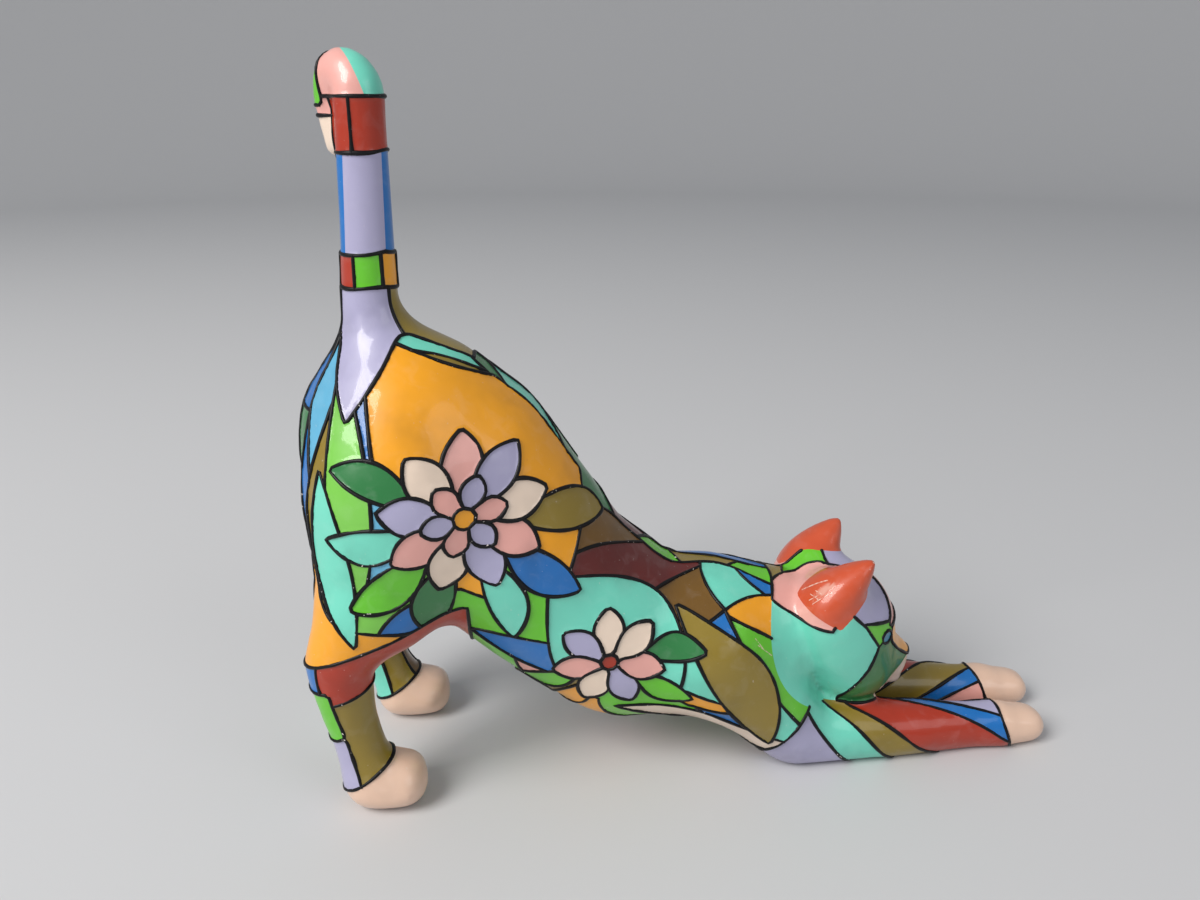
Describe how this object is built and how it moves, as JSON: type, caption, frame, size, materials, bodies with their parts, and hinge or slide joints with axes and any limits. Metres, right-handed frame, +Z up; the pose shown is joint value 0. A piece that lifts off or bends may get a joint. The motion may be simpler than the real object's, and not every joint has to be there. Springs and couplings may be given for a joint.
{
  "type": "cat figurine",
  "caption": "Cast cat figurine in a stretching pose, chest and forearms down, rump high, tail upright with a curled tip, painted in glossy panes with black raised outlines.",
  "frame": {"origin": "middle of the figure's bounding box, on the floor that the soles and forearms rest on", "axes": "+X from the hind feet towards the head and forepaws, +Y to the cat's left, +Z up along the tail"},
  "size_m": [0.2814, 0.0836, 0.25],
  "materials": {
    "enamel": "glossy hand-painted enamel over cast resin, in panes of many colours with raised black outlines"
  },
  "bodies": {
    "root": {"stretching_cat": "enamel"}
  },
  "joints": []
}
